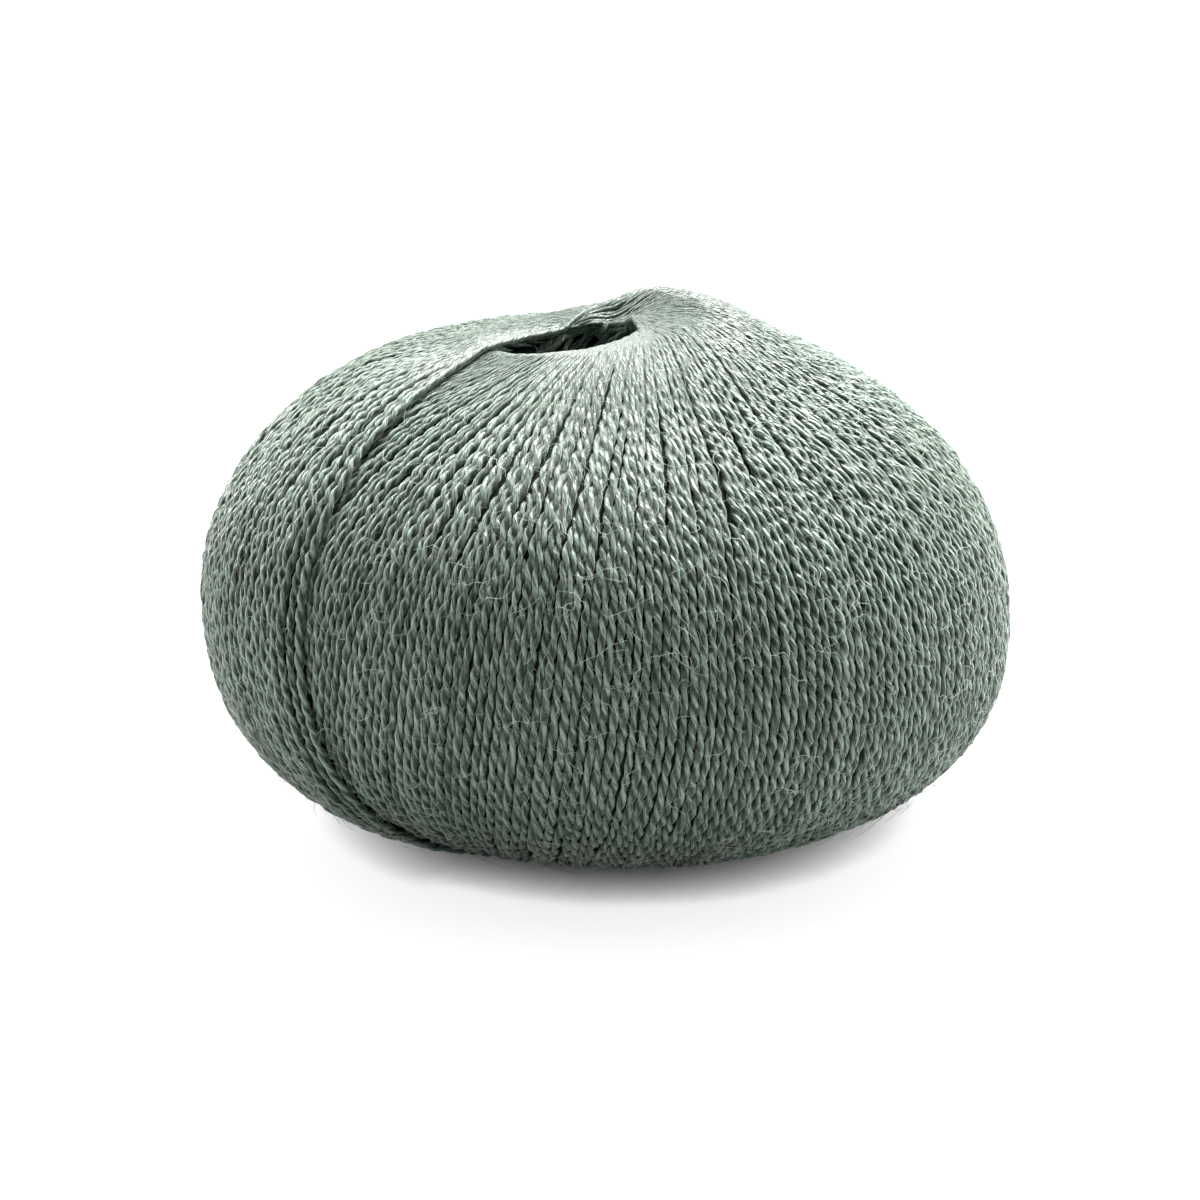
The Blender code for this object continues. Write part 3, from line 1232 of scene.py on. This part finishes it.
@dataclass(frozen=True)
class StrandFinish:
    """Silky grey-green plies, with painted shade in the groove between them and on the side that faces the
    ball.
    """

    streaks: bpy.types.NodeTree
    light: Colour = (0.315, 0.430, 0.338, 1.0)
    dark: Colour = (0.040, 0.080, 0.050, 1.0)
    # painted shade: the colour of the grooves between the plies and of the strands' sides that face the ball
    groove: Colour = (0.022, 0.041, 0.028, 1.0)
    groove_range: tuple[float, float] = (0.20, 0.85)  # sideways parts over which the painted groove shade fades out, from the groove to a ply's crown
    facing_range: tuple[float, float] = (-0.25, 0.65)  # outward parts from the side with painted shade, which faces the ball, to the open one
    least_exposed: float = 0.14
    tone_range: tuple[float, float] = (-4.0, 2.0)
    tint_range: tuple[float, float] = (-0.1, 0.8)
    streak_tint: float = 0.80
    cloud_tint: float = 0.18
    roughness: float = 0.45
    gloss_range: float = 0.22  # of the roughness, from shiny streaks to dull ones
    specular: float = 0.60
    sheen: float = 0.8
    sheen_roughness: float = 0.4
    sheen_tint: Colour = (0.95, 0.99, 0.95, 1.0)
    pressed_light: float = 0.50  # least share of unshaded colour that pressed strands keep against the painted groove and underside shade
    pressed_painted_shade: float = 0.60  # painted shade by which pressed strands, round the holes, are darker
    streak_scale: float = 2.3
    streak_stretch: float = 0.38
    bump: float = 1.0
    bump_distance: float = 0.18 * MM

    def material(self) -> bpy.types.Material:
        """Makes the material.

        Returns:
            The material.
        """
        material, bench, surface = new_material("sage_strand")
        wind = bench.attribute("wind")
        streaks, cloud = bench.fibres(self.streaks, wind, self.streak_scale, self.streak_stretch)
        tone, press, facing = bench.parts(bench.attribute("lay"))
        # pressed strands keep more of their unshaded colour against the painted groove and underside shade
        pressed = bench.math("MULTIPLY", press, self.pressed_light)
        # painted shade in the groove between the plies
        crown = bench.remap(bench.math("ABSOLUTE", bench.parts(wind)[0]), *self.groove_range, 0.0, 1.0)
        crown = bench.math("MAXIMUM", crown, pressed)
        # painted shade on the side of each strand that faces the ball
        exposed = bench.remap(facing, *self.facing_range, self.least_exposed, 1.0)
        exposed = bench.math("MAXIMUM", exposed, pressed)
        streak = bench.remap(streaks, *NOISE_RANGE, -self.streak_tint, self.streak_tint)
        patch = bench.remap(cloud, *NOISE_RANGE, -self.cloud_tint, self.cloud_tint)
        # painted shade: pressed strands round the holes are darker
        shade = bench.math("MULTIPLY", bench.math("MULTIPLY", press, press), self.pressed_painted_shade)
        tint = bench.math("SUBTRACT", bench.remap(tone, *self.tone_range, *self.tint_range), shade)
        lightness = bench.math("ADD", bench.math("ADD", tint, streak), patch)
        lightness = bench.add("ShaderNodeClamp", {0: lightness}).outputs[0]
        body = bench.mix(lightness, self.dark, self.light)
        dull, shiny = self.roughness + self.gloss_range, self.roughness - self.gloss_range
        bench.fill(surface, {
            "Base Color": bench.mix(bench.math("MULTIPLY", crown, exposed), self.groove, body),
            "Roughness": bench.remap(streaks, *NOISE_MIDDLE, dull, shiny),
            "Specular IOR Level": self.specular,
            "Sheen Weight": self.sheen,
            "Sheen Roughness": self.sheen_roughness,
            "Sheen Tint": self.sheen_tint,
            "Normal": bench.bump(streaks, self.bump, self.bump_distance),
        })
        return material


@dataclass(frozen=True)
class GroundFinish:
    """The turns deep between the strands, coloured far darker than the yarn as painted shade, and darkest in
    the grooves between turns.
    """

    streaks: bpy.types.NodeTree
    turns: int
    # painted shade: both colours are the yarn's colour darkened for the shade deep between the strands
    light: Colour = (0.036, 0.053, 0.041, 1.0)
    dark: Colour = (0.010, 0.017, 0.012, 1.0)
    roughness: float = 0.8
    specular: float = 0.1
    crest_range: tuple[float, float] = (-0.6, 1.0)  # of a wave between two turns' grooves, which are darkened as painted shade
    grain: float = 3.0
    grain_stretch: float = 0.3
    least_grain: float = 0.4
    bump: float = 0.8
    bump_distance: float = 0.3 * MM

    def material(self) -> bpy.types.Material:
        """Makes the material.

        Returns:
            The material.
        """
        material, bench, surface = new_material("painted_shade_turns")
        wind = bench.attribute("wind")
        cosine, sine, _ = bench.parts(wind)
        angle = bench.math("ARCTAN2", sine, cosine)
        wave = bench.math("SINE", bench.math("MULTIPLY", angle, float(self.turns)))
        crest = bench.remap(wave, *self.crest_range, 0.0, 1.0)
        streaks, _ = bench.fibres(self.streaks, wind, self.grain, self.grain_stretch)
        grain = bench.remap(streaks, *NOISE_RANGE, self.least_grain, 1.0)
        share = bench.math("MULTIPLY", crest, grain)
        bench.fill(surface, {
            "Base Color": bench.mix(share, self.dark, self.light),
            "Roughness": self.roughness,
            "Specular IOR Level": self.specular,
            "Normal": bench.bump(crest, self.bump, self.bump_distance),
        })
        return material


@dataclass(frozen=True)
class FibreFinish:
    """Single loose fibres, coloured paler than the yarn as a painted highlight where they catch the light.
    """

    streaks: bpy.types.NodeTree
    # painted highlight: both colours are paler than the yarn's own
    light: Colour = (0.66, 0.75, 0.67, 1.0)
    dark: Colour = (0.34, 0.43, 0.36, 1.0)
    roughness: float = 0.4
    patches: float = 400.0  # to a metre

    def material(self) -> bpy.types.Material:
        """Makes the material.

        Returns:
            The material.
        """
        material, bench, surface = new_material("loose_fibre")
        place = bench.add("ShaderNodeTexCoord", {}).outputs["Object"]
        streaks, _ = bench.fibres(self.streaks, place, self.patches, 1.0)
        share = bench.remap(streaks, *NOISE_MIDDLE, 0.0, 1.0)
        colour = bench.mix(share, self.dark, self.light)
        bench.fill(surface, {"Base Color": colour, "Roughness": self.roughness})
        return material


@dataclass
class Studio:
    """A pale floor under a soft overhead light, and a sky that is brightest behind and above the ball."""

    floor_size: float = 6.0
    floor_tone: float = 0.44
    floor_roughness: float = 0.9
    floor_specular: float = 0.1
    floor_glow: float = 0.80  # a glow seen by the camera only: painted light which shows the paper as white and lifts the ball's shadow on it
    painted_shadow_reach: float = 4.5 * MM  # painted contact shadow: from the ball to where the glow has its full strength
    sky: float = 2.5
    sky_middle: Vector = Vector((0.0, 0.82, 0.54))
    sky_sides: float = 1.35  # how much brighter the sky is to the left and right
    sky_fades: float = 0.70  # cosine of the angle from the sky's middle at which it has faded out
    overhead: float = 9.0
    overhead_width: float = math.radians(26.0)
    overhead_place: Vector = Vector((0.36, 0.66, 1.0))

    def build(self) -> None:
        """Sets up the floor, the light and the sky, and shows their colours as they are."""
        bpy.context.scene.view_settings.view_transform = "Standard"
        self._floor()
        light = bpy.data.lights.new("soft_overhead", "SUN")
        light.energy = self.overhead
        light.angle = self.overhead_width
        lamp = put("soft_overhead", light)
        lamp.location = self.overhead_place
        lamp.rotation_euler = (-self.overhead_place).to_track_quat("-Z", "Y").to_euler()
        self._sky()

    def _sky(self) -> None:
        """Makes the sky, which fades from its middle to the side of the camera."""
        world = bpy.data.worlds.new("studio")
        bpy.context.scene.world = world
        world.use_nodes = True
        bench = NodeBench(world.node_tree)
        direction = bench.add("ShaderNodeTexCoord", {}).outputs["Generated"]
        towards = {0: direction, 1: self.sky_middle.normalized()}
        facing = bench.add("ShaderNodeVectorMath", towards, operation="DOT_PRODUCT").outputs["Value"]
        east = bench.parts(direction)[0]
        aside = bench.math("MULTIPLY", bench.math("MULTIPLY", east, east), self.sky_sides)
        strength = bench.remap(bench.math("ADD", facing, aside), self.sky_fades, 1.0, 0.0, self.sky)
        bench.fill(world.node_tree.nodes["Background"], {"Color": WHITE, "Strength": strength})

    def _floor(self) -> None:
        """Lays the floor, with a glow seen by the camera only that fades near the ball as a painted contact
        shadow.
        """
        shape = bmesh.new()
        bmesh.ops.create_grid(shape, x_segments=1, y_segments=1, size=0.5 * self.floor_size)
        mesh = mesh_of(shape, "floor")
        material, bench, surface = new_material("floor_paper")
        seen = bench.add("ShaderNodeLightPath", {}).outputs["Is Camera Ray"]
        # painted contact shadow: the glow fades near the ball, by the ball's occlusion
        painted_shadow_mask = bench.add("ShaderNodeAmbientOcclusion", {"Distance": self.painted_shadow_reach}).outputs["AO"]
        bench.fill(surface, {
            "Base Color": (self.floor_tone, self.floor_tone, self.floor_tone, 1.0),
            "Roughness": self.floor_roughness,
            "Specular IOR Level": self.floor_specular,
            "Emission Color": bench.mix(bench.math("MULTIPLY", seen, painted_shadow_mask), BLACK, WHITE),
            "Emission Strength": self.floor_glow,
        })
        mesh.materials.append(material)
        floor = put("floor", mesh)


@dataclass
class PhotoCamera:
    """A camera at the photograph's angle and distance."""

    aim: Vector
    elevation: float = math.radians(18.3)
    distance: float = 0.6
    frame_width: float = 0.1343  # of what the frame takes in at the ball's distance
    sensor: float = 36.0

    def build(self) -> None:
        """Makes the camera and hands it to the scene."""
        data = bpy.data.cameras.new("photo_camera")
        data.sensor_width = self.sensor
        data.lens = self.sensor * self.distance / self.frame_width
        data.clip_start = 0.01
        camera = put("photo_camera", data)
        away = Vector((0.0, -math.cos(self.elevation), math.sin(self.elevation)))
        camera.location = self.aim + self.distance * away
        camera.rotation_euler = (QUARTER_TURN - self.elevation, 0.0, 0.0)
        bpy.context.scene.camera = camera


def main() -> None:
    """Builds the ball, the studio and the camera."""
    logging.basicConfig(level=logging.INFO, format="%(name)s: %(message)s")
    form = WoundForm()
    yarn = Yarn()
    streaks = fibre_group()
    strand = StrandBuilder(yarn, StrandFinish(streaks).material())
    layer = LastLayer(form, yarn)
    turns = round(FULL_TURN * form.girth_radius / layer.pitch)
    InnerBody(form, yarn, GroundFinish(streaks, turns).material()).build()
    laid = layer.stretches()
    LOG.info("%d stretches, %.1f m of yarn", len(laid), sum(each.course.along()[-1] for each in laid))
    strand.build_all("turns", laid, layer.triangles_per_piece)
    pull_hole = HoleWall(form, yarn, upward=1.0, depth=9.0 * MM, seed=5).stretches()
    strand.build("pull_hole_wall", pull_hole)
    bottom_hole = HoleWall(form, yarn, upward=-1.0, depth=3.5 * MM, seed=6).stretches()
    strand.build("bottom_hole_wall", bottom_hole)
    fibre = FibreFinish(streaks).material()
    FlyawayFibres(
        laid,
        yarn,
        fibre,
        seed=21,
        count=850,
        length=(2.0 * MM, 7.5 * MM),
        radius=0.028 * MM,
        rings=13,
        stand=(0.2 * MM, 1.0 * MM),
        kink=0.42,
        favour=1.2,
    ).build("flyaway_fibres")
    FlyawayFibres(
        laid,
        yarn,
        fibre,
        seed=22,
        count=5200,
        length=(0.6 * MM, 1.9 * MM),
        radius=0.013 * MM,
        rings=4,
        stand=(0.03 * MM, 0.22 * MM),
        kink=0.5,
        upright=0.35,
    ).build("short_fuzz")
    Studio().build()
    PhotoCamera(aim=Vector((-0.9 * MM, 0.0, form.girth_height - 0.5 * MM))).build()


if __name__ == "__main__":
    main()
